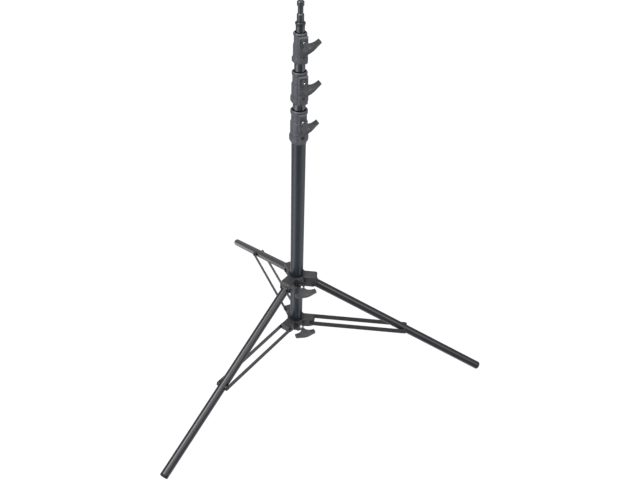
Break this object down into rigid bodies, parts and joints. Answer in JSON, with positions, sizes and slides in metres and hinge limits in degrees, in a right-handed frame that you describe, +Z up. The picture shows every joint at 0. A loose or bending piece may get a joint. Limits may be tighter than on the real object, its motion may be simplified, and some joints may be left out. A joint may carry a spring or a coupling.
{
  "type": "folding light stand",
  "caption": "Folding studio light stand: braced tubular legs on a sliding hub, base tube, nested risers with T-knob collars and a top spigot.",
  "frame": {"origin": "on the column's axis, on the floor that the three feet stand on", "axes": "+Z up along the column, +X along leg 1; legs 2 and 3 follow counter-clockwise at 120 degrees"},
  "size_m": [0.8368, 0.963, 1.065],
  "materials": {
    "mast_black": "satin black anodised",
    "riser_black": "polished black anodised",
    "leg_black": "satin black",
    "collar_casting": "matte dark grey casting",
    "hub_casting": "matte charcoal casting",
    "black_plastic": "moulded, matte",
    "brake_nylon": "moulded, natural",
    "knob_plastic": "moulded, fine grain",
    "zinc_steel": "bright zinc plate",
    "foot_rubber": "matte",
    "brace_steel": "satin dark grey",
    "ferrule_black": "satin black anodised",
    "stud_black": "satin dark grey",
    "black_fastener": "black oxide"
  },
  "bodies": {
    "column": {"base_tube": "mast_black", "base_end_cap": "black_plastic", "mast_collar_lower": "collar_casting", "guide_bush_lower": "black_plastic", "brake_shoe_lower": "brake_nylon", "collar_rivets_lower": "black_fastener", "brace_collar": "hub_casting", "brace_collar_bush": "black_plastic", "brace_pins": "black_fastener"},
    "hub": {"leg_hub": "hub_casting", "hub_bush": "black_plastic", "leg_pivot_bolts": "black_fastener"},
    "leg_1": {"leg_tube_1": "leg_black", "leg_plug_1": "black_plastic", "leg_foot_1": "foot_rubber", "leg_bolt_1": "zinc_steel", "leg_spacers_1": "black_plastic"},
    "brace_1": {"brace_bars_1": "brace_steel", "brace_rivets_1": "black_fastener"},
    "leg_2": {"leg_tube_2": "leg_black", "leg_plug_2": "black_plastic", "leg_foot_2": "foot_rubber", "leg_bolt_2": "zinc_steel", "leg_spacers_2": "black_plastic"},
    "brace_2": {"brace_bars_2": "brace_steel", "brace_rivets_2": "black_fastener"},
    "leg_3": {"leg_tube_3": "leg_black", "leg_plug_3": "black_plastic", "leg_foot_3": "foot_rubber", "leg_bolt_3": "zinc_steel", "leg_spacers_3": "black_plastic"},
    "brace_3": {"brace_bars_3": "brace_steel", "brace_rivets_3": "black_fastener"},
    "riser_1": {"riser_1_tube": "riser_black", "riser_1_bush": "black_plastic", "mast_collar_middle": "collar_casting", "guide_bush_middle": "black_plastic", "brake_shoe_middle": "brake_nylon", "collar_rivets_middle": "black_fastener"},
    "riser_2": {"riser_2_tube": "riser_black", "riser_2_bush": "black_plastic", "mast_collar_upper": "collar_casting", "guide_bush_upper": "black_plastic", "brake_shoe_upper": "brake_nylon", "collar_rivets_upper": "black_fastener"},
    "riser_3": {"riser_3_tube": "riser_black", "riser_3_bush": "black_plastic", "top_ferrule": "ferrule_black", "stud": "stud_black", "stud_pin": "zinc_steel"},
    "hub_knob": {"hub_knob": "knob_plastic", "hub_screw": "zinc_steel"},
    "brace_collar_knob": {"brace_collar_knob": "knob_plastic", "brace_collar_screw": "zinc_steel"},
    "collar_lower_knob": {"collar_lower_knob": "knob_plastic", "collar_lower_screw": "zinc_steel"},
    "collar_middle_knob": {"collar_middle_knob": "knob_plastic", "collar_middle_screw": "zinc_steel"},
    "collar_upper_knob": {"collar_upper_knob": "knob_plastic", "collar_upper_screw": "zinc_steel"}
  },
  "joints": [
    {"name": "hub_slide", "type": "slide", "parent": "column", "child": "hub", "axis": [0, 0, 1], "range_m": [0, 0.41]},
    {"name": "leg_1_hinge", "type": "hinge", "parent": "hub", "child": "leg_1", "pos_m": [0.048, 0, 0.2876], "axis": [0, 1, 0], "range_deg": [0, 49.73]},
    {"name": "brace_1_hinge", "type": "hinge", "parent": "column", "child": "brace_1", "pos_m": [0.048, 0, 0.1362], "axis": [0, -1, 0], "range_deg": [0, 76.66]},
    {"name": "leg_2_hinge", "type": "hinge", "parent": "hub", "child": "leg_2", "pos_m": [-0.024, 0.04157, 0.2876], "axis": [-0.866, -0.5, 0], "range_deg": [0, 49.73]},
    {"name": "brace_2_hinge", "type": "hinge", "parent": "column", "child": "brace_2", "pos_m": [-0.024, 0.04157, 0.1362], "axis": [0.866, 0.5, 0], "range_deg": [0, 76.66]},
    {"name": "leg_3_hinge", "type": "hinge", "parent": "hub", "child": "leg_3", "pos_m": [-0.024, -0.04157, 0.2876], "axis": [0.866, -0.5, 0], "range_deg": [0, 49.73]},
    {"name": "brace_3_hinge", "type": "hinge", "parent": "column", "child": "brace_3", "pos_m": [-0.024, -0.04157, 0.1362], "axis": [-0.866, 0.5, 0], "range_deg": [0, 76.66]},
    {"name": "riser_1_slide", "type": "slide", "parent": "column", "child": "riser_1", "axis": [0, 0, 1], "range_m": [0, 0.58]},
    {"name": "riser_2_slide", "type": "slide", "parent": "riser_1", "child": "riser_2", "axis": [0, 0, 1], "range_m": [0, 0.675]},
    {"name": "riser_3_slide", "type": "slide", "parent": "riser_2", "child": "riser_3", "axis": [0, 0, 1], "range_m": [0, 0.763]},
    {"name": "hub_knob_turn", "type": "hinge", "parent": "hub", "child": "hub_knob", "pos_m": [0.0225, -0.03897, 0.29], "axis": [0.5, -0.866, 0], "range_deg": [0, 270]},
    {"name": "brace_collar_knob_turn", "type": "hinge", "parent": "column", "child": "brace_collar_knob", "pos_m": [0.0225, -0.03897, 0.1362], "axis": [0.5, -0.866, 0], "range_deg": [0, 270]},
    {"name": "collar_lower_knob_turn", "type": "hinge", "parent": "column", "child": "collar_lower_knob", "pos_m": [0.015, -0.02598, 0.7913], "axis": [0.5, -0.866, 0], "range_deg": [0, 270]},
    {"name": "collar_middle_knob_turn", "type": "hinge", "parent": "riser_1", "child": "collar_middle_knob", "pos_m": [0.015, -0.02598, 0.8902], "axis": [0.5, -0.866, 0], "range_deg": [0, 270]},
    {"name": "collar_upper_knob_turn", "type": "hinge", "parent": "riser_2", "child": "collar_upper_knob", "pos_m": [0.015, -0.02598, 0.9812], "axis": [0.5, -0.866, 0], "range_deg": [0, 270]}
  ],
  "couplings": [
    {"joint": "leg_1_hinge", "follows": "hub_slide", "rad_per_m": 2.1084},
    {"joint": "brace_1_hinge", "follows": "hub_slide", "rad_per_m": 3.2548},
    {"joint": "leg_2_hinge", "follows": "hub_slide", "rad_per_m": 2.1084},
    {"joint": "brace_2_hinge", "follows": "hub_slide", "rad_per_m": 3.2548},
    {"joint": "leg_3_hinge", "follows": "hub_slide", "rad_per_m": 2.1084},
    {"joint": "brace_3_hinge", "follows": "hub_slide", "rad_per_m": 3.2548}
  ]
}
